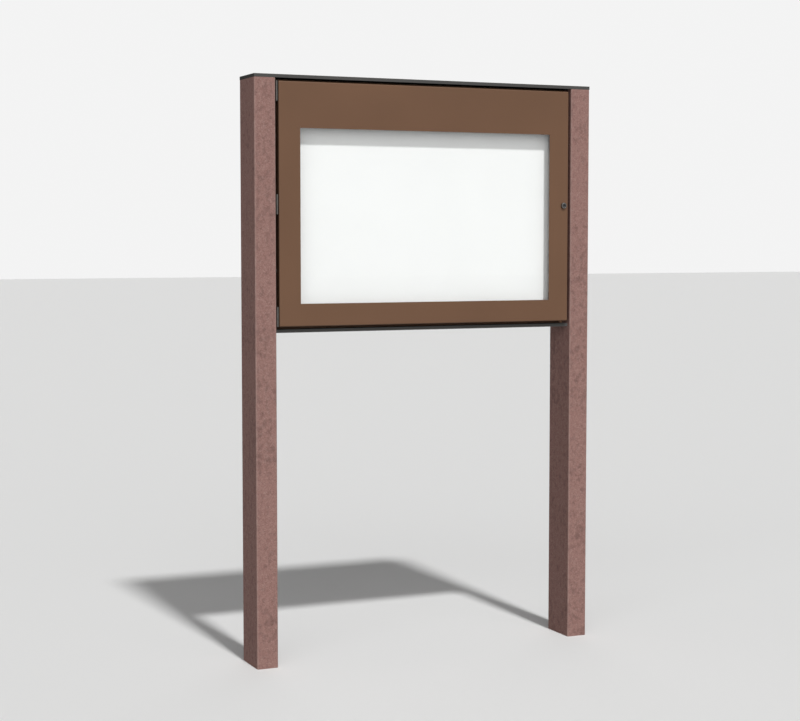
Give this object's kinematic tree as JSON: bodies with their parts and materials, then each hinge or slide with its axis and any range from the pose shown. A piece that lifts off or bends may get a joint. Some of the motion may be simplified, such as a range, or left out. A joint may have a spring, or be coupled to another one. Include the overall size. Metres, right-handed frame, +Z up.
{
  "type": "lockable notice board",
  "caption": "Free-standing outdoor notice board: a shallow lockable glazed case hung between stone posts, with a plate over them and a plate below the case.",
  "frame": {"origin": "on the ground, midway between the posts across their width and depth", "axes": "+Z up, +X to the right seen from the front, +Y towards the back; the door faces -Y"},
  "size_m": [1.368, 0.169, 2.15],
  "materials": {
    "stone": "fine granular, honed",
    "brown_paint": "satin powder coat",
    "grey_plate": "satin grey",
    "white_panel": "satin white",
    "glass": "clear",
    "seal_rubber": "matt",
    "steel": "satin",
    "lock_metal": "satin chrome"
  },
  "bodies": {
    "stand": {"post_left": "stone", "post_right": "stone", "top_plate": "grey_plate", "bottom_plate": "grey_plate", "top_plate_screw_1": "steel", "top_plate_screw_2": "steel", "top_plate_screw_3": "steel", "top_plate_screw_4": "steel", "bottom_plate_dowel_1": "steel", "bottom_plate_dowel_2": "steel", "bottom_plate_dowel_3": "steel", "bottom_plate_dowel_4": "steel", "case_bottom_profile": "brown_paint", "case_top_profile": "brown_paint", "case_left_profile": "brown_paint", "case_right_profile": "brown_paint", "display_panel": "white_panel", "rear_cover": "brown_paint", "door_seal": "seal_rubber", "rear_cover_screw_1": "steel", "rear_cover_screw_2": "steel", "rear_cover_screw_3": "steel", "rear_cover_screw_4": "steel", "rear_cover_screw_5": "steel", "rear_cover_screw_6": "steel", "panel_screw_1": "steel", "panel_screw_2": "steel", "panel_screw_3": "steel", "panel_screw_4": "steel", "case_bolt_1": "steel", "case_bolt_2": "steel", "case_bolt_3": "steel", "case_bolt_4": "steel", "case_spacer_1": "steel", "case_spacer_2": "steel", "case_spacer_3": "steel", "case_spacer_4": "steel", "hinge_top_fixed_leaf": "steel", "hinge_top_pin": "steel", "hinge_middle_fixed_leaf": "steel", "hinge_middle_pin": "steel", "hinge_bottom_fixed_leaf": "steel", "hinge_bottom_pin": "steel"},
    "door": {"door_skin": "brown_paint", "glazing_gasket": "seal_rubber", "window_pane": "glass", "glazing_bead_bottom": "brown_paint", "glazing_bead_top": "brown_paint", "glazing_bead_left": "brown_paint", "glazing_bead_right": "brown_paint", "hinge_top_moving_leaf": "steel", "hinge_middle_moving_leaf": "steel", "hinge_bottom_moving_leaf": "steel", "lock_body": "lock_metal", "lock_nut": "steel"},
    "lock": {"lock_plug": "lock_metal", "lock_cam": "steel", "lock_cam_screw": "steel"}
  },
  "joints": [
    {"name": "door_swing", "type": "hinge", "parent": "stand", "child": "door", "pos_m": [-0.5985, -0.0765, 1.6865], "axis": [0, 0, -1], "range_deg": [0, 105]},
    {"name": "lock_turn", "type": "hinge", "parent": "door", "child": "lock", "pos_m": [0.5717, -0.08, 1.6905], "axis": [0, -1, 0], "range_deg": [0, 90]}
  ]
}
